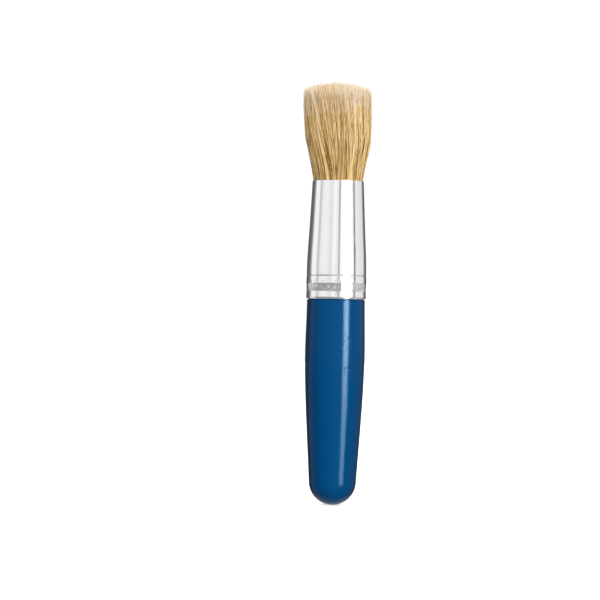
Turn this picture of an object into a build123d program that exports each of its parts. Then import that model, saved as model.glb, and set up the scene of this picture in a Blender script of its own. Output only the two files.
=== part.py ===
"""A chubby round stencil brush, standing on the butt of its handle, in millimetres.

The axis is +Z and the origin is the lowest point of the rounded butt. Every piece is turned about the axis,
so each one starts as a half outline of (radius, height) points. Neighbouring pieces share their outlines,
so they meet face to face without overlapping.
"""

import math
import os

from build123d import *

os.makedirs("parts", exist_ok=True)

# Handle: a hemispherical butt, a taper out to a belly, and a rounded edge below the ferrule's foot, with a
# narrow painted relief groove between the two
BUTT_RADIUS = 7.88
TAPER_ANGLE = 3.4
TAPER_MIDDLE = (9.16, 28.3)
BELLY = (9.95, 52.3)
EDGE_RADIUS = 9.65
EDGE_HEIGHT = 68.38
EDGE_ROUNDING = 0.12
GROOVE_RADIUS = 9.25
SHOULDER_HEIGHT = 68.65
PAINT_THICKNESS = 0.25
TENON_LENGTH = 16.0
TENON_CHAMFER = 0.8

# Ferrule, from its foot up: a lower band with a curled foot, a row of crimp marks, a lip, an upper band,
# a crease, and a cone that narrows to the mouth
FERRULE_WALL = 0.4
FOOT_RIM = (9.78, SHOULDER_HEIGHT)
FOOT_CURL = (9.92, 69.0)
LOWER_BAND_FOOT = (9.95, 69.5)
LOWER_BAND_TOP = (9.9, 71.2)
CRIMP_FOOT = (9.83, 71.2)
CRIMP_TOP = (9.96, 73.7)
LIP = (10.0, 73.9)
UPPER_BAND_FOOT = (9.985, 74.4)
UPPER_BAND_BULGE = (9.975, 75.3)
UPPER_BAND_TOP = (9.93, 76.2)
CREASE = (9.82, 76.4)
CONE_FOOT = (9.92, 76.6)
CONE_LOWER = (9.8, 82.3)
CONE_UPPER = (9.37, 90.3)
MOUTH = (8.53, 107.9)
MOUTH_TAPER = 2.8
RIM_ROUNDING = 0.12

# Crimp marks: flats side by side, so that the pressed row is a many-sided taper
CRIMP_MARKS = 18

# Bristle tuft: roots tied round a waist, a bundle that fills the ferrule, a flared head and a low dome
ROOT_HEIGHT = 88.5
ROOT_RADIUS = 7.9
TIE_RADIUS = 7.5
TIE_HEIGHT = 92.5
TIE_HALF_WIDTH = 1.9
ROOT_SHOULDER = 0.5
RESIN_TOP = 97.0
HEAD_FLARE = [(8.56, 110.3), (9.74, 116.3), (10.62, 121.5), (10.85, 127.0)]
HEAD_SIDE_TOP = (10.75, 134.5)
HEAD_CORNER = (10.55, 137.0)
DOME_EDGE = (9.7, 138.5)
DOME_TOP = (0, 140.5)

# Binding thread: a few turns of round thread pulled a little into the roots
THREAD_RADIUS = 0.3
THREAD_TURNS = 4
THREAD_PITCH = 0.75
THREAD_BITE = 0.1


def turned(outline):
    """Turn a closed half outline of edges about the axis."""
    return revolve(Plane.XZ * make_face(outline), Axis.Z)


def slice_of(solid, bottom, top):
    """The part of a solid between two heights."""
    width = 4 * BELLY[0]
    slab = Box(width, width, top - bottom, align=(Align.CENTER, Align.CENTER, Align.MIN))
    return solid & (Pos(0, 0, bottom) * slab)


def dome(edge, top):
    """The arc of a sphere centred on the axis, from its edge up to its top on the axis."""
    rise = top[1] - edge[1]
    radius = (edge[0] ** 2 + rise**2) / (2 * rise)
    half_angle = math.asin(edge[0] / radius) / 2
    between = (radius * math.sin(half_angle), top[1] - radius * (1 - math.cos(half_angle)))
    return ThreePointArc(edge, between, top)


def handle_flank(inset):
    """Edges of the exposed handle from its lowest point to its upper edge, drawn in by the inset."""
    top_height = EDGE_HEIGHT - max(inset, EDGE_ROUNDING)
    slope = math.radians(TAPER_ANGLE)
    radius = BUTT_RADIUS - inset
    lowest = (0, inset)
    halfway = (radius * math.sin(math.pi / 4), BUTT_RADIUS - radius * math.cos(math.pi / 4))
    taper_start = (radius * math.cos(slope), BUTT_RADIUS - radius * math.sin(slope))
    flank = [
        taper_start,
        (TAPER_MIDDLE[0] - inset, TAPER_MIDDLE[1]),
        (BELLY[0] - inset, BELLY[1]),
        (EDGE_RADIUS - inset, top_height),
    ]
    butt = ThreePointArc(lowest, halfway, taper_start)
    side = Spline(*flank, tangents=[(math.sin(slope), math.cos(slope)), (0, 1)])
    return [butt, side]


def drawn_in(point, inset):
    """A point of an outline moved towards the axis."""
    return (point[0] - inset, point[1])


def crimped_row(inset):
    """The many-sided taper that the crimping jaws leave, with its corners on the round outline."""
    foot_radius, foot_height = drawn_in(CRIMP_FOOT, inset)
    top_radius, top_height = drawn_in(CRIMP_TOP, inset)
    foot = Pos(0, 0, foot_height) * RegularPolygon(foot_radius, CRIMP_MARKS)
    top = Pos(0, 0, top_height) * RegularPolygon(top_radius, CRIMP_MARKS)
    return loft([foot, top], ruled=True)


def ferrule_envelope(inset):
    """The outside of the ferrule as a solid plug, drawn in by the inset."""
    foot_rim = drawn_in(FOOT_RIM, inset)
    lower_foot = drawn_in(LOWER_BAND_FOOT, inset)
    lower_top = drawn_in(LOWER_BAND_TOP, inset)
    lower_band = turned(
        [
            Line((0, SHOULDER_HEIGHT), foot_rim),
            ThreePointArc(foot_rim, drawn_in(FOOT_CURL, inset), lower_foot),
            Polyline(lower_foot, lower_top, (0, LOWER_BAND_TOP[1]), (0, SHOULDER_HEIGHT)),
        ]
    )
    crimp_top = drawn_in(CRIMP_TOP, inset)
    upper_foot = drawn_in(UPPER_BAND_FOOT, inset)
    upper_top = drawn_in(UPPER_BAND_TOP, inset)
    cone = [drawn_in(point, inset) for point in (CONE_FOOT, CONE_LOWER, CONE_UPPER, MOUTH)]
    taper = math.radians(MOUTH_TAPER)
    upper_part = turned(
        [
            Polyline((0, CRIMP_TOP[1]), crimp_top, drawn_in(LIP, inset), upper_foot),
            ThreePointArc(upper_foot, drawn_in(UPPER_BAND_BULGE, inset), upper_top),
            Polyline(upper_top, drawn_in(CREASE, inset), cone[0]),
            Spline(*cone, tangents=[(0, 1), (-math.sin(taper), math.cos(taper))]),
            Polyline(cone[-1], (0, MOUTH[1]), (0, CRIMP_TOP[1])),
        ]
    )
    return lower_band + crimped_row(inset) + upper_part


def make_handle(bore):
    """The wooden core: the exposed part without its paint, and a tenon pressed into the crimp."""
    neck_radius = GROOVE_RADIUS - PAINT_THICKNESS
    ledge_height = EDGE_HEIGHT - PAINT_THICKNESS
    outline = handle_flank(PAINT_THICKNESS) + [
        Polyline(
            (EDGE_RADIUS - PAINT_THICKNESS, ledge_height),
            (neck_radius, ledge_height),
            (neck_radius, SHOULDER_HEIGHT),
            (0, SHOULDER_HEIGHT),
            (0, PAINT_THICKNESS),
        ),
    ]
    tenon = slice_of(bore, SHOULDER_HEIGHT, SHOULDER_HEIGHT + TENON_LENGTH)
    tenon_rim = tenon.edges().group_by(Axis.Z)[-1]
    return turned(outline) + chamfer(tenon_rim, TENON_CHAMFER)


def make_paint():
    """The enamel coat: an even skin from the butt over the rounded edge and into the groove."""
    neck_radius = GROOVE_RADIUS - PAINT_THICKNESS
    ledge_height = EDGE_HEIGHT - PAINT_THICKNESS
    edge_side = (EDGE_RADIUS, EDGE_HEIGHT - EDGE_ROUNDING)
    edge_top = (EDGE_RADIUS - EDGE_ROUNDING, EDGE_HEIGHT)
    closing = [
        RadiusArc(edge_side, edge_top, EDGE_ROUNDING, short_sagitta=True),
        Polyline(
            edge_top,
            (GROOVE_RADIUS, EDGE_HEIGHT),
            (GROOVE_RADIUS, SHOULDER_HEIGHT),
            (neck_radius, SHOULDER_HEIGHT),
            (neck_radius, ledge_height),
            (EDGE_RADIUS - PAINT_THICKNESS, ledge_height),
        ),
        Line((0, PAINT_THICKNESS), (0, 0)),
    ]
    return turned(handle_flank(0) + closing + handle_flank(PAINT_THICKNESS))


def make_ferrule(bore):
    """The aluminium tube, with both rims of its mouth and its lower outer rim rounded."""
    tube = ferrule_envelope(0) - bore
    mouth_rims = tube.edges().group_by(Axis.Z)[-1]
    lower_rim = tube.edges().group_by(Axis.Z)[0].sort_by(SortBy.RADIUS)[-1]
    return fillet(mouth_rims + [lower_rim], RIM_ROUNDING)


def make_tuft_blank(bore):
    """The whole bundle before the thread bites into it: tied roots, shank in the ferrule, and head."""
    shank_radius = MOUTH[0] - FERRULE_WALL
    roots = turned(
        [
            Polyline(
                (0, ROOT_HEIGHT),
                (ROOT_RADIUS, ROOT_HEIGHT),
                (ROOT_RADIUS, TIE_HEIGHT - TIE_HALF_WIDTH - ROOT_SHOULDER),
                (TIE_RADIUS, TIE_HEIGHT - TIE_HALF_WIDTH),
                (TIE_RADIUS, TIE_HEIGHT + TIE_HALF_WIDTH),
                (ROOT_RADIUS, TIE_HEIGHT + TIE_HALF_WIDTH + ROOT_SHOULDER),
                (ROOT_RADIUS, RESIN_TOP),
                (0, RESIN_TOP),
                (0, ROOT_HEIGHT),
            )
        ]
    )
    shank = slice_of(bore, RESIN_TOP, MOUTH[1])
    mouth_edge = (shank_radius, MOUTH[1])
    head = turned(
        [
            Line((0, MOUTH[1]), mouth_edge),
            Spline(mouth_edge, *HEAD_FLARE, HEAD_SIDE_TOP, tangents=[(1, 2), (-0.02, 1)]),
            ThreePointArc(HEAD_SIDE_TOP, HEAD_CORNER, DOME_EDGE),
            dome(DOME_EDGE, DOME_TOP),
            Line(DOME_TOP, (0, MOUTH[1])),
        ]
    )
    return roots + shank + head


def make_thread():
    """The binding thread: a helix of round thread lying in the waist of the roots."""
    coil_radius = TIE_RADIUS + THREAD_RADIUS - THREAD_BITE
    coil_height = THREAD_TURNS * THREAD_PITCH
    path = Helix(THREAD_PITCH, coil_height, coil_radius, center=(0, 0, TIE_HEIGHT - coil_height / 2))
    section = Plane(path @ 0, z_dir=path % 0) * Circle(THREAD_RADIUS)
    return sweep(section, path, is_frenet=True)


def make_resin(bore, handle, tuft_blank, thread):
    """The set resin: it fills the ferrule from the tenon up, round the roots and the thread."""
    tenon_top = SHOULDER_HEIGHT + TENON_LENGTH
    plug = slice_of(bore, tenon_top - TENON_CHAMFER, RESIN_TOP)
    return plug - handle - tuft_blank - thread


bore = ferrule_envelope(FERRULE_WALL)
handle = make_handle(bore)
tuft_blank = make_tuft_blank(bore)
thread = make_thread()
pieces = {
    "handle": handle,
    "handle_paint": make_paint(),
    "ferrule": make_ferrule(bore),
    "root_resin": make_resin(bore, handle, tuft_blank, thread),
    "binding_thread": thread,
    "bristle_tuft": tuft_blank - thread,
}

for node, shape in pieces.items():
    export_step(shape, f"parts/{node}.step")
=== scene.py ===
"""The look of a chubby round stencil brush: materials, real bristles, studio light, floor and camera.

Metres, in the row frame: the brush stands on the butt of its handle, its axis along +Z, and the camera
looks along +Y. The CAD nodes give the hard parts; the bristles are made here, one tube for each hair.
"""

import math
from collections import namedtuple

import bpy
import numpy as np
from mathutils import Matrix, Vector


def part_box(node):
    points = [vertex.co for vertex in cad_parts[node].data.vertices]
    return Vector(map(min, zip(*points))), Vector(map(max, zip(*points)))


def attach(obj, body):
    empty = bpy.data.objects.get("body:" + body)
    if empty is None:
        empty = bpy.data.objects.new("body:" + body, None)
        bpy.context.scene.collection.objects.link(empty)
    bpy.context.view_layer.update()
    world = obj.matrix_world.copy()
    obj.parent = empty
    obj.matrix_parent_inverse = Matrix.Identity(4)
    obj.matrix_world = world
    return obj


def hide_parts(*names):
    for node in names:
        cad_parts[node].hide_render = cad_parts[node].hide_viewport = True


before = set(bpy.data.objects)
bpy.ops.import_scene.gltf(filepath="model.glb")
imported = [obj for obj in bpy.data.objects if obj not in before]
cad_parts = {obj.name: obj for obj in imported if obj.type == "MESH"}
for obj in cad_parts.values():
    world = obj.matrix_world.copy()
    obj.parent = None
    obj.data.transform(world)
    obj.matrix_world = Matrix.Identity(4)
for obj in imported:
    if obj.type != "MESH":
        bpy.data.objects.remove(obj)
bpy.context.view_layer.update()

MM = 0.001
FULL_TURN = 2 * math.pi
SEED = 20

# Camera: a long lens, level with the middle of the brush, which stands right of the view's middle
SENSOR_WIDTH = 36.0
LENS = 118.8
DISTANCE = 660 * MM
AIM_HEIGHT = 68.3 * MM
RIGHT_OF_MIDDLE = 11.9667 * MM
TILT_DEGREES = 1.13

# The patch on the front of the handle where dust has dried into the enamel, thickest in its core
SPECK_MIDDLE = (3.4 * MM, -9.2 * MM, 50.0 * MM)
SPECK_CORE = 3.6 * MM
SPECK_REACH = 9.0 * MM

# The row of crimp marks on the ferrule, and how far they fade out above and below it
CRIMPED = (70.8 * MM, 74.2 * MM)
CRIMP_FADE = 1.6 * MM

# Hog bristle from shadowed brown, through golden tan, to the pale tips, and the palette's number of steps
HAIR_COLOURS = [
    (0.2, 0.095, 0.022),
    (0.5, 0.3, 0.088),
    (0.75, 0.49, 0.18),
    (0.87, 0.66, 0.35),
    (0.85, 0.79, 0.71),
]
HAIR_TONES = 12

# The hair groups, from the middle of the tuft outwards. Inner and outer are shares of the tuft's radius,
# rings are those of each tube above the ferrule's mouth, and pull is how far the tips of a clump draw
# together, which grows along the hair to the power CLUMP_EASE.
CLUMP_EASE = 1.3
HairGroup = namedtuple("HairGroup", "name hairs inner outer sides rings clumps pull")
HAIR_GROUPS = [
    HairGroup("bristles_core", hairs=2400, inner=0.0, outer=0.62, sides=3, rings=7, clumps=60, pull=0.15),
    HairGroup("bristles_middle", hairs=1700, inner=0.62, outer=0.83, sides=4, rings=12, clumps=700, pull=0.3),
    HairGroup("bristles_outer", hairs=1900, inner=0.83, outer=1.0, sides=4, rings=12, clumps=800, pull=0.3),
]

# The strays, with ranges for their share of the tuft's radius, their length as a share of the tuft's, how
# much further out than the head their tips stand, which grows to the power STRAY_EASE, and their thickness
STRAY_HAIRS = 26
STRAY_SIDES = 4
STRAY_RINGS = 9
STRAY_LOOSENESS = 2.6
STRAY_SHARE = (0.9, 1.0)
STRAY_LENGTH = (0.8, 1.01)
STRAY_REACH = (0.04, 0.16)
STRAY_EASE = 1.5
STRAY_THICKNESS = (0.7, 1.0)

# Each hair: its radius and how that varies, the share left at the tip, and where it starts to narrow
HAIR_RADIUS = 0.09 * MM
HAIR_THICKNESS = (0.8, 1.25)
TIP_SHARE = 0.2
NARROW_FROM = 0.55
NARROW_EASE = 1.5

# The head: how it leaves the ferrule's mouth, spills over the rim, flares and ends in a low rounded dome
MOUTH_RADIUS = 8.1 * MM
RIM_SPILL = 0.3 * MM
SPILL_RISE = 0.6 * MM
HEAD_SPREAD = 2.5 * MM
FLARE_RISE = 16.0 * MM
DOME_RADIUS = 28.0 * MM
CORNER_FROM = 0.9
CORNER_DROP = 0.8 * MM
ROOT_SQUEEZE = 0.92
ROOT_GAP = 0.1 * MM

# How the head leans, fans and turns (radians) towards its tips
HEAD_LEAN = -0.9 * MM
LEFT_FAN = 0.8
RIGHT_FLARE = 0.8 * MM
HEAD_TWIST = -0.24
FRONT_FAN = 0.25
TURN_EASE = 1.2

# How single hairs stray from that: where they stand as a share of the radius and an angle, how high they
# end (mm), their turn and sway, and the size (mm) and number of their waves and where these are full
PLACE_SCATTER = 0.006
ANGLE_SCATTER = 0.02
TIP_MEAN = -0.4
TIP_SCATTER = 0.5
TIP_LIMITS = (-1.8, 0.5)
TURN_SCATTER = 0.14
SWAY_SCATTER = 0.026
WAVE_SIZE = (0.03, 0.15)
WAVE_TURNS = (0.6, 2.0)
WAVE_FULL_AT = 0.25

# Hair tones in palette steps: how they rise from root to tip, how they vary by hair, by clump and by ring,
# how far above the usual a hair may go, and the share of hairs and of clumps that lie in shade
ROOT_TONE = 5.0
TONE_RISE = 3.0
TIP_PALING = 2.5
TIP_PALE_FROM = 0.55
TIP_PALE_EASE = 1.8
OWN_TONE = 3.4
SHARED_TONE = 1.8
RING_TONE = 0.8
PALER_LIMIT = 1.8
TONE_EVENING = 0.2
SHADED_HAIRS = 0.1
SHADED_CLUMPS = 0.12
SHADE_DEPTH = 4.0

# The plain floor
FLOOR_HALF_WIDTH = 1.5

# The studio that polished surfaces see, as (bearing, brightness): degrees to the right of the camera, for
# the panels round the brush, for the light overhead and for the strip below the horizon
PANELS = [
    (-180, 0.3), (-160, 0.11), (-134, 0.13), (-121, 0.24), (-110, 0.95), (-89, 1.0), (-84, 0.6), (-76, 0.6),
    (-70, 0.9), (-45, 0.95), (-25, 0.78), (-15, 0.98), (-8, 0.98), (-3, 0.85), (3.5, 0.85), (5.5, 0.3),
    (10, 0.3), (12, 1.0), (69, 1.0), (72, 0.1), (76, 0.1), (79, 0.8), (88, 0.95), (92, 0.85), (124, 0.8),
    (139, 0.12), (168, 0.12), (180, 0.3),
]
OVERHEAD = [(-180, 0.5), (-110, 0.2), (-60, 0.25), (0, 0.8), (60, 0.9), (110, 0.6), (180, 0.5)]
BELOW = [
    (-180, 0.2), (-132, 0.1), (-118, 0.75), (-100, 0.75), (-90, 0.33), (-45, 0.3), (-10, 0.33), (20, 0.4),
    (70, 0.35), (78, 0.55), (90, 0.5), (105, 0.42), (124, 0.38), (142, 0.12), (180, 0.2),
]

# Elevations in degrees over which the strip below gives way to the panels, and the panels to the overhead
BELOW_TO_PANELS = (-4.5, 0.0)
PANELS_TO_OVERHEAD = (14.0, 30.0)

# The ground under the brush: which way it is brightest, the cosines from there at which it starts and is
# full, and its brightness
GROUND_DIRECTION = (0.0, 0.6, -0.8)
GROUND_EDGE = (0.7, 0.92)
GROUND_LEVEL = 0.9

# The tall softbox: its soft sides as bearings, the elevations over which its foot, its hot lower part and
# its top fade, and its brightness above the hot part and in it
SOFTBOX_LEFT = (26.0, 38.0)
SOFTBOX_RIGHT = (57.0, 46.0)
SOFTBOX_FOOT = (-20.0, 1.0)
SOFTBOX_FOOT_EASE = 1.2
SOFTBOX_HOT = (8.0, 4.0)
SOFTBOX_TOP = (50.0, 35.0)
SOFTBOX_LEVELS = (2.5, 60.0)

# The lamps for matt surfaces: bearings of the front lamp's soft sides, where the one behind comes in, and
# how both grow with elevation
FRONT_LEFT = (-35.0, 13.0)
FRONT_RIGHT = (50.0, 18.0)
FRONT_LEVEL = 1.82
BEHIND_EDGE = (135.0, 180.0)
BEHIND_LEVELS = (0.05, 1.1)
LAMP_HEIGHT = (-75.0, 25.0)
LAMP_LEVELS = (0.35, 2.95)

# What the camera itself sees behind everything: plain white
BACKDROP_LEVEL = 1.05


# ---------------------------------------------------------------- node helpers


class Nodes:
    """Short ways to add and link nodes in one node tree."""

    def __init__(self, tree):
        self.tree = tree
        tree.nodes.clear()

    def add(self, kind, **settings):
        node = self.tree.nodes.new(kind)
        for name, value in settings.items():
            setattr(node, name, value)
        return node

    def link(self, source, target):
        self.tree.links.new(source, target)

    def feed(self, socket, value):
        """Set a socket to a plain value, or link it to another node's output."""
        if isinstance(value, bpy.types.NodeSocket):
            self.link(value, socket)
        else:
            socket.default_value = value

    def feed_all(self, sockets, values):
        for socket, value in zip(sockets, values):
            self.feed(socket, value)

    def math(self, operation, *values):
        node = self.add("ShaderNodeMath", operation=operation)
        self.feed_all(node.inputs, values)
        return node.outputs[0]

    def vector(self, operation, *values, output="Vector"):
        node = self.add("ShaderNodeVectorMath", operation=operation)
        self.feed_all(node.inputs, values)
        return node.outputs[output]

    def remap(self, value, start, end, to_start=0.0, to_end=1.0, smooth=True):
        """Map the stretch from start to end onto another, and hold the result outside it."""
        node = self.add("ShaderNodeMapRange", interpolation_type="SMOOTHSTEP" if smooth else "LINEAR")
        self.feed_all(node.inputs, (value, start, end, to_start, to_end))
        return node.outputs[0]

    def mix(self, factor, first, second):
        node = self.add("ShaderNodeMix", data_type="FLOAT")
        self.feed(node.inputs[0], factor)
        self.feed_all(node.inputs[2:4], (first, second))
        return node.outputs[0]

    def place(self):
        """Where on the object a point lies, in the object's own metres."""
        return self.add("ShaderNodeTexCoord").outputs["Object"]

    def noise(self, across, along, detail=2.0):
        """Noise with one scale across the brush's axis and another along it."""
        scaled = self.vector("MULTIPLY", self.place(), (across, across, along))
        node = self.add("ShaderNodeTexNoise")
        self.link(scaled, node.inputs["Vector"])
        node.inputs["Scale"].default_value = 1.0
        node.inputs["Detail"].default_value = detail
        return node.outputs["Fac"]

    def bump(self, height, distance, strength=1.0, normal=None):
        node = self.add("ShaderNodeBump")
        self.feed(node.inputs["Strength"], strength)
        node.inputs["Distance"].default_value = distance
        self.link(height, node.inputs["Height"])
        if normal is not None:
            self.link(normal, node.inputs["Normal"])
        return node.outputs[0]


def new_material(name, colour, roughness):
    """A material with a Principled shader, and the helper for its nodes. None leaves a value to a node."""
    material = bpy.data.materials.new(name)
    material.use_nodes = True
    nodes = Nodes(material.node_tree)
    shader = nodes.add("ShaderNodeBsdfPrincipled")
    output = nodes.add("ShaderNodeOutputMaterial")
    nodes.link(shader.outputs[0], output.inputs["Surface"])
    if colour is not None:
        shader.inputs["Base Color"].default_value = (*colour, 1)
    if roughness is not None:
        shader.inputs["Roughness"].default_value = roughness
    return material, nodes, shader


# ---------------------------------------------------------------- materials


def enamel():
    """Glossy blue enamel: faint wood grain, a little orange peel, and a patch of dust specks on the front."""
    material, nodes, shader = new_material("blue_enamel", (0.0, 0.048, 0.15), roughness=0.12)
    shader.inputs["IOR"].default_value = 1.2
    shader.inputs["Specular Tint"].default_value = (0.6, 0.88, 1.0, 1)
    grain = nodes.noise(across=1500, along=30)
    peel = nodes.noise(across=1900, along=1900, detail=1.0)
    dust = nodes.noise(across=1400, along=1400, detail=0.0)
    specks = nodes.remap(dust, start=0.63, end=0.74)
    away = nodes.vector("DISTANCE", nodes.place(), SPECK_MIDDLE, output="Value")
    speckled = nodes.remap(away, SPECK_REACH, SPECK_CORE)
    grained = nodes.bump(grain, distance=0.02 * MM)
    peeled = nodes.bump(peel, distance=0.014 * MM, normal=grained)
    finished = nodes.bump(specks, distance=0.08 * MM, strength=speckled, normal=peeled)
    nodes.link(finished, shader.inputs["Normal"])
    return material


def aluminium():
    """Bright drawn aluminium with fine lines along the tube, soft dents, and marks left by the crimping."""
    material, nodes, shader = new_material("ferrule_aluminium", (0.93, 0.93, 0.925), roughness=None)
    shader.inputs["Metallic"].default_value = 1.0
    lines = nodes.noise(across=5000, along=60, detail=3.0)
    roughness = nodes.remap(lines, start=0.35, end=0.7, to_start=0.09, to_end=0.16)
    nodes.link(roughness, shader.inputs["Roughness"])
    dents = nodes.noise(across=260, along=90, detail=1.0)
    marks = nodes.noise(across=800, along=500)
    split = nodes.add("ShaderNodeSeparateXYZ")
    nodes.link(nodes.place(), split.inputs[0])
    height = split.outputs["Z"]
    low, high = CRIMPED
    rising = nodes.remap(height, low - CRIMP_FADE, low)
    falling = nodes.remap(height, high + CRIMP_FADE, high)
    crimped = nodes.math("MULTIPLY", rising, falling)
    lined = nodes.bump(lines, distance=0.0012 * MM)
    dented = nodes.bump(dents, distance=0.006 * MM, normal=lined)
    finished = nodes.bump(marks, distance=0.09 * MM, strength=crimped, normal=dented)
    nodes.link(finished, shader.inputs["Normal"])
    return material


def wood():
    """Bare turned hardwood, with long grain and pores."""
    material, nodes, shader = new_material("handle_wood", None, roughness=0.7)
    grain = nodes.noise(across=900, along=30, detail=4.0)
    ramp = nodes.add("ShaderNodeValToRGB")
    dark, light = ramp.color_ramp.elements
    dark.color = (0.36, 0.2, 0.09, 1)
    light.color = (0.72, 0.52, 0.31, 1)
    dark.position = 0.3
    light.position = 0.65
    nodes.link(grain, ramp.inputs["Fac"])
    nodes.link(ramp.outputs["Color"], shader.inputs["Base Color"])
    nodes.link(nodes.bump(grain, distance=0.05 * MM), shader.inputs["Normal"])
    return material


def resin():
    """Amber set resin, glossy where it met the tube."""
    material, nodes, shader = new_material("set_resin", (0.3, 0.17, 0.06), roughness=0.25)
    ripples = nodes.noise(across=500, along=500)
    nodes.link(nodes.bump(ripples, distance=0.05 * MM), shader.inputs["Normal"])
    return material


def thread():
    """Undyed cotton thread with its twist."""
    material, nodes, shader = new_material("tie_thread", (0.66, 0.6, 0.48), roughness=0.85)
    twist = nodes.noise(across=3000, along=9000)
    nodes.link(nodes.bump(twist, distance=0.05 * MM), shader.inputs["Normal"])
    return material


def hair_palette():
    """One plain material for each tone, evenly spaced along the hair colours."""
    materials = []
    for index in range(HAIR_TONES):
        place = index / (HAIR_TONES - 1) * (len(HAIR_COLOURS) - 1)
        lower = min(int(place), len(HAIR_COLOURS) - 2)
        blend = place - lower
        pairs = zip(HAIR_COLOURS[lower], HAIR_COLOURS[lower + 1])
        colour = [first + (second - first) * blend for first, second in pairs]
        material, _, shader = new_material(f"hog_bristle_{index:02d}", colour, roughness=0.42)
        shader.inputs["Specular IOR Level"].default_value = 0.15
        materials.append(material)
    return materials


def pale_floor():
    """Matt and nearly white, and glowing a little, so that it stays pale under the split light."""
    material, _, shader = new_material("pale_floor", (0.9, 0.9, 0.9), roughness=0.9)
    shader.inputs["Emission Color"].default_value = (1, 1, 1, 1)
    shader.inputs["Emission Strength"].default_value = 0.6
    return material


# ---------------------------------------------------------------- bristles


def past(value, start):
    """How far a value between 0 and 1 is on its way from start to 1."""
    return np.clip((value - start) / (1 - start), 0, 1)


def envelope(height):
    """Radius of the bundle at a height above the ferrule's mouth: spilling over the rim, then flaring."""
    spill = RIM_SPILL * (1 - np.exp(-np.maximum(height, 0) / SPILL_RISE))
    rise = np.clip(height / FLARE_RISE, 0, 1)
    return MOUTH_RADIUS + spill + HEAD_SPREAD * rise**2 * (3 - 2 * rise)


def tip_height(share, length):
    """Height above the mouth where a hair ends, for its share of the radius: a low dome, rounded off."""
    radius = share * (MOUTH_RADIUS + RIM_SPILL + HEAD_SPREAD)
    sag = DOME_RADIUS - np.sqrt(DOME_RADIUS**2 - radius**2)
    return length - sag - CORNER_DROP * past(share, CORNER_FROM) ** 2


def sunflower(group, rng):
    """Evenly spread places for a group's hairs, as shares of the radius and angles, a little scattered."""
    order = np.arange(group.hairs) + 0.5
    share = np.sqrt(group.inner**2 + (group.outer**2 - group.inner**2) * order / group.hairs)
    around = order * math.pi * (3 - math.sqrt(5))
    share = np.clip(share + rng.normal(0, PLACE_SCATTER, group.hairs), 0, group.outer)
    return share, around + rng.normal(0, ANGLE_SCATTER, group.hairs)


def hair_paths(share, around, length, rng, rings, looseness=1.0):
    """Centre lines of the hairs: an array of (hair, ring, xyz) above the ferrule's mouth.

    The hairs flare with the head, twist a little round it, and on its front fan out to both sides.
    """
    count = len(share)
    uneven = np.clip(rng.normal(TIP_MEAN, TIP_SCATTER, count), *TIP_LIMITS)
    tips = tip_height(share, length) + uneven * MM
    along = np.linspace(0, 1, rings)[None, :]
    height = tips[:, None] * along
    scatter = looseness * rng.normal(0, TURN_SCATTER, (count, 1))
    turned = HEAD_TWIST + FRONT_FAN * np.cos(around[:, None]) + scatter
    angle = around[:, None] + turned * along**TURN_EASE
    sway = looseness * rng.normal(0, SWAY_SCATTER, (count, 1)) * along**2
    radius = share[:, None] * envelope(height) * (1 + sway)
    wave_size = looseness * rng.uniform(*WAVE_SIZE, (count, 1)) * MM
    wave_turns = rng.uniform(*WAVE_TURNS, (count, 1))
    wave_start = rng.uniform(0, FULL_TURN, (count, 1))
    wave_angle = rng.uniform(0, FULL_TURN, (count, 1))
    growth = np.minimum(1, along / WAVE_FULL_AT)
    wave = wave_size * np.sin(FULL_TURN * wave_turns * along + wave_start) * growth
    x = radius * np.cos(angle) + wave * np.cos(wave_angle)
    y = radius * np.sin(angle) + wave * np.sin(wave_angle)
    return np.stack([x, y, height], axis=2)


def clump(paths, share, around, rng, clumps, pull):
    """Draw the hairs a little towards the middle hair of their clump, more towards the tips."""
    leaders = rng.choice(len(share), clumps, replace=False)
    spots = np.stack([share * np.cos(around), share * np.sin(around)], axis=1)
    apart = ((spots[:, None, :] - spots[None, leaders, :]) ** 2).sum(axis=2)
    leader = leaders[apart.argmin(axis=1)]
    strength = pull * np.linspace(0, 1, paths.shape[1])[None, :, None] ** CLUMP_EASE
    drawn = paths.copy()
    drawn[:, :, :2] += strength * (paths[leader][:, :, :2] - paths[:, :, :2])
    return drawn, leader


def stand_away(paths, rng):
    """Carry the stray hairs away from the head, more towards their tips."""
    count, rings, _ = paths.shape
    along = np.linspace(0, 1, rings)[None, :]
    reach = 1 + rng.uniform(*STRAY_REACH, (count, 1)) * along**STRAY_EASE
    paths[:, :, :2] *= reach[:, :, None]


def add_lean(paths, length):
    """The head bends a little to the left, its left half fans out further, and its right tips flare."""
    along = (paths[:, :, 2] / length) ** 2
    rightward = np.clip(paths[:, :, 0] / (MOUTH_RADIUS + HEAD_SPREAD), -1, 1)
    lean = HEAD_LEAN * along * (1 + LEFT_FAN * np.maximum(-rightward, 0))
    flare = RIGHT_FLARE * along**3 * np.maximum(rightward, 0)
    paths[:, :, 0] += lean + flare


def with_roots(paths, mouth_height, root_height):
    """Lift the paths to the ferrule's mouth and carry each one straight down to its root."""
    paths = paths.copy()
    paths[:, :, 2] += mouth_height
    root = paths[:, :1, :].copy()
    root[:, :, :2] *= ROOT_SQUEEZE
    root[:, :, 2] = root_height
    return np.concatenate([root, paths], axis=1)


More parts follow.
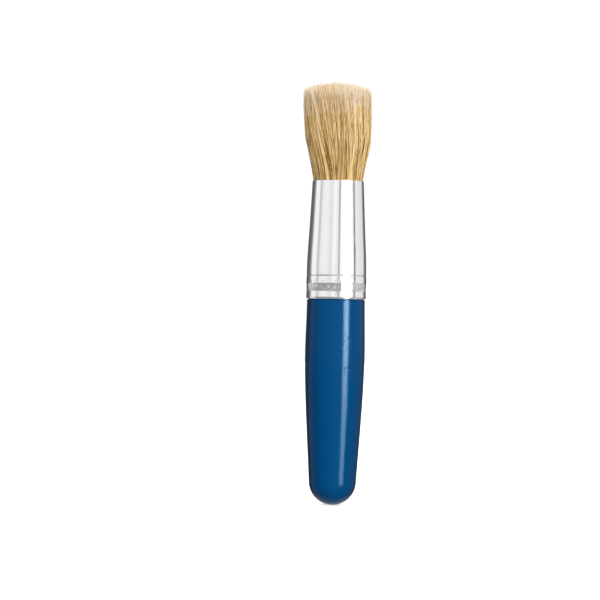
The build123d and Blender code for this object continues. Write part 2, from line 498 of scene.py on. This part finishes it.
def hair_tones(paths, leader, rng):
    """The palette step of each ring of each hair: darker low down, pale at the tip, and uneven by hair.

    Leader is the hair whose shared tone each hair takes: the middle one of its clump.
    """
    count, rings, _ = paths.shape
    along = np.linspace(0, 1, rings)[None, :]
    own = rng.normal(0, OWN_TONE, (count, 1))
    shared = rng.normal(0, SHARED_TONE, (count, 1))[leader]
    uneven = np.minimum(own + shared, PALER_LIMIT) * (1 - TONE_EVENING * along)
    shaded = (rng.random((count, 1)) < SHADED_CLUMPS)[leader]
    dark = shaded | (rng.random((count, 1)) < SHADED_HAIRS)
    shade = dark * -SHADE_DEPTH * (1 - along**2)
    paling = ROOT_TONE + TONE_RISE * along + TIP_PALING * past(along, TIP_PALE_FROM) ** TIP_PALE_EASE
    return paling + uneven + shade + rng.normal(0, RING_TONE, (count, rings))


def tube_points(paths, thickness, sides):
    """The corners of the tubes, narrowing to their tips: an array of (hair, ring, side, xyz)."""
    turn = np.linspace(0, FULL_TURN, sides, endpoint=False)
    along = np.linspace(0, 1, paths.shape[1])
    narrow = 1 - (1 - TIP_SHARE) * past(along, NARROW_FROM) ** NARROW_EASE
    size = thickness[:, None] * narrow[None, :]
    points = np.repeat(paths[:, :, None, :], sides, axis=2)
    points[:, :, :, 0] += size[:, :, None] * np.cos(turn)
    points[:, :, :, 1] += size[:, :, None] * np.sin(turn)
    return points


def tube_faces(count, rings, sides):
    """The walls of all the tubes, then their lower ends, then their upper ends."""
    ring = np.arange(rings - 1)[:, None] * sides
    side = np.arange(sides)[None, :]
    after = (side + 1) % sides
    walls = np.stack([ring + side, ring + after, ring + sides + after, ring + sides + side], axis=2)
    first = np.arange(count)[:, None] * rings * sides
    all_walls = (first[:, :, None] + walls.reshape(1, -1, 4)).reshape(-1, 4)
    lower = first + side[:, ::-1]
    upper = first + (rings - 1) * sides + side
    return all_walls.tolist() + lower.tolist() + upper.tolist()


def face_tones(tone, sides):
    """The palette step of each face, in the order of tube_faces."""
    walls = np.repeat(tone[:, :-1], sides, axis=1).reshape(-1)
    steps = np.concatenate([walls, tone[:, 0], tone[:, -1]])
    return np.clip(np.round(steps), 0, HAIR_TONES - 1).astype(np.int32)


def tube_mesh(name, paths, thickness, sides, tone, palette):
    """One closed tube for each path, with a colour step for each length of it."""
    count, rings, _ = paths.shape
    points = tube_points(paths, thickness, sides)
    faces = tube_faces(count, rings, sides)
    mesh = bpy.data.meshes.new(name)
    mesh.from_pydata(points.reshape(-1, 3).tolist(), [], faces)
    for material in palette:
        mesh.materials.append(material)
    mesh.polygons.foreach_set("material_index", face_tones(tone, sides))
    mesh.polygons.foreach_set("use_smooth", np.ones(len(faces), bool))
    mesh.validate()
    mesh.update()
    return mesh


def make_piece(name, mesh):
    """Put a mesh in the scene as a piece that stands for the CAD tuft."""
    piece = bpy.data.objects.new(name, mesh)
    bpy.context.scene.collection.objects.link(piece)
    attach(piece, "root")
    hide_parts("bristle_tuft")


def make_bristles():
    """The tuft: a packed core, the hairs around it in clumps, and a few strays that stand away."""
    rng = np.random.default_rng(SEED)
    palette = hair_palette()
    tuft_low, tuft_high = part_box("bristle_tuft")
    mouth_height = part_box("ferrule")[1].z
    root_height = tuft_low.z + ROOT_GAP
    length = tuft_high.z - mouth_height

    def make_hairs(name, paths, thickness, sides, leader):
        """Lean the hairs, root them in the ferrule, colour them and make their piece."""
        add_lean(paths, length)
        rooted = with_roots(paths, mouth_height, root_height)
        radii = HAIR_RADIUS * rng.uniform(*thickness, len(paths))
        tone = hair_tones(rooted, leader, rng)
        make_piece(name, tube_mesh(name, rooted, radii, sides, tone, palette))

    for group in HAIR_GROUPS:
        share, around = sunflower(group, rng)
        paths = hair_paths(share, around, length, rng, group.rings)
        paths, leader = clump(paths, share, around, rng, group.clumps, group.pull)
        make_hairs(group.name, paths, HAIR_THICKNESS, group.sides, leader)

    share = rng.uniform(*STRAY_SHARE, STRAY_HAIRS)
    around = rng.uniform(0, FULL_TURN, STRAY_HAIRS)
    stray_length = length * rng.uniform(*STRAY_LENGTH)
    paths = hair_paths(share, around, stray_length, rng, STRAY_RINGS, STRAY_LOOSENESS)
    stand_away(paths, rng)
    make_hairs("bristles_stray", paths, STRAY_THICKNESS, STRAY_SIDES, leader=np.arange(STRAY_HAIRS))


# ---------------------------------------------------------------- floor, light and camera


def make_floor():
    """A plain pale floor. The brush doesn't see it, so that it doesn't cut the studio's long reflections."""
    half = FLOOR_HALF_WIDTH
    mesh = bpy.data.meshes.new("floor")
    corners = [(-half, -half, 0), (half, -half, 0), (half, half, 0), (-half, half, 0)]
    mesh.from_pydata(corners, [], [(0, 1, 2, 3)])
    mesh.materials.append(pale_floor())
    floor = bpy.data.objects.new("floor", mesh)
    bpy.context.scene.collection.objects.link(floor)
    floor.visible_glossy = False
    floor.visible_diffuse = False


def ramp_by_bearing(nodes, bearing, stops):
    """A brightness for each direction round the brush, in degrees to the right of the camera."""
    ramp = nodes.add("ShaderNodeValToRGB")
    elements = ramp.color_ramp.elements
    while len(elements) < len(stops):
        elements.new(0.5)
    for element, (degrees, value) in zip(elements, stops):
        element.position = (degrees + 180) / 360
        element.color = (value, value, value, 1)
    nodes.link(nodes.math("ADD", nodes.math("DIVIDE", bearing, 360.0), 0.5), ramp.inputs["Fac"])
    return ramp.outputs["Color"]


def lamp(nodes, bearing, left, right):
    """An upright lamp with soft sides. Each side goes from dark to full between its two bearings."""
    return nodes.math("MULTIPLY", nodes.remap(bearing, *left), nodes.remap(bearing, *right))


def softbox(nodes, bearing, elevation):
    """A tall softbox to the right of the camera, fading towards its foot, with a hot lower part."""
    foot = nodes.math("POWER", nodes.remap(elevation, *SOFTBOX_FOOT, smooth=False), SOFTBOX_FOOT_EASE)
    lit = nodes.math("MULTIPLY", foot, nodes.remap(elevation, *SOFTBOX_HOT, *SOFTBOX_LEVELS))
    tall = nodes.math("MULTIPLY", lit, nodes.remap(elevation, *SOFTBOX_TOP))
    return nodes.math("MULTIPLY", lamp(nodes, bearing, SOFTBOX_LEFT, SOFTBOX_RIGHT), tall)


def polished_light(nodes, bearing, elevation, direction):
    """What polished surfaces reflect: the softbox, pale panels with narrow gaps between them, a dimmer
    strip below the horizon, softer light overhead and a plain white ground."""
    panels = ramp_by_bearing(nodes, bearing, PANELS)
    overhead = ramp_by_bearing(nodes, bearing, OVERHEAD)
    below = ramp_by_bearing(nodes, bearing, BELOW)
    studio = nodes.mix(nodes.remap(elevation, *BELOW_TO_PANELS), below, panels)
    studio = nodes.mix(nodes.remap(elevation, *PANELS_TO_OVERHEAD), studio, overhead)
    underneath = nodes.vector("DOT_PRODUCT", direction, GROUND_DIRECTION, output="Value")
    ground = nodes.remap(underneath, *GROUND_EDGE, 0.0, GROUND_LEVEL)
    return nodes.math("ADD", nodes.math("ADD", studio, ground), softbox(nodes, bearing, elevation))


def matt_light(nodes, bearing, elevation):
    """What lights matt surfaces: a broad lamp a little to the right of the camera, a dimmer one behind."""
    front = nodes.math("MULTIPLY", lamp(nodes, bearing, FRONT_LEFT, FRONT_RIGHT), FRONT_LEVEL)
    behind = nodes.remap(nodes.math("ABSOLUTE", bearing), *BEHIND_EDGE, *BEHIND_LEVELS)
    height = nodes.remap(elevation, *LAMP_HEIGHT, *LAMP_LEVELS)
    return nodes.math("MULTIPLY", nodes.math("ADD", front, behind), height)


def make_light():
    """Soft studio light, set apart for polished and for matt surfaces, on white."""
    world = bpy.data.worlds.new("studio")
    bpy.context.scene.world = world
    world.use_nodes = True
    nodes = Nodes(world.node_tree)
    direction = nodes.add("ShaderNodeTexCoord").outputs["Generated"]
    split = nodes.add("ShaderNodeSeparateXYZ")
    nodes.link(direction, split.inputs[0])
    x, y, z = split.outputs
    turn = nodes.math("ARCTAN2", x, nodes.math("MULTIPLY", y, -1.0))
    bearing = nodes.math("MULTIPLY", turn, 180 / math.pi)
    elevation = nodes.math("MULTIPLY", nodes.math("ARCSINE", z), 180 / math.pi)
    polished = polished_light(nodes, bearing, elevation, direction)
    matt = matt_light(nodes, bearing, elevation)
    ray = nodes.add("ShaderNodeLightPath")
    lit = nodes.mix(ray.outputs["Is Glossy Ray"], matt, polished)
    background = nodes.add("ShaderNodeBackground")
    background.inputs["Color"].default_value = (1, 1, 1, 1)
    nodes.link(nodes.mix(ray.outputs["Is Camera Ray"], lit, BACKDROP_LEVEL), background.inputs["Strength"])
    output = nodes.add("ShaderNodeOutputWorld")
    nodes.link(background.outputs[0], output.inputs["Surface"])


def make_camera():
    """Looks along +Y, rolled a little so that the brush's top leans to the left."""
    data = bpy.data.cameras.new("camera")
    data.lens = LENS
    data.sensor_width = SENSOR_WIDTH
    camera = bpy.data.objects.new("camera", data)
    bpy.context.scene.collection.objects.link(camera)
    level = Matrix.Rotation(math.radians(90), 3, "X")
    rolled = level @ Matrix.Rotation(math.radians(TILT_DEGREES), 3, "Z")
    seen_from_camera = Vector((RIGHT_OF_MIDDLE, 0, -DISTANCE))
    camera.rotation_euler = rolled.to_euler()
    camera.location = Vector((0, 0, AIM_HEIGHT)) - rolled @ seen_from_camera
    bpy.context.scene.camera = camera


def dress_hard_parts():
    """Give each CAD node its finished material."""
    looks = {
        "handle": wood(),
        "handle_paint": enamel(),
        "ferrule": aluminium(),
        "root_resin": resin(),
        "binding_thread": thread(),
    }
    for name, material in looks.items():
        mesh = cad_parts[name].data
        mesh.materials.clear()
        mesh.materials.append(material)


dress_hard_parts()
make_bristles()
make_floor()
make_light()
make_camera()
bpy.context.scene.view_settings.view_transform = "Standard"
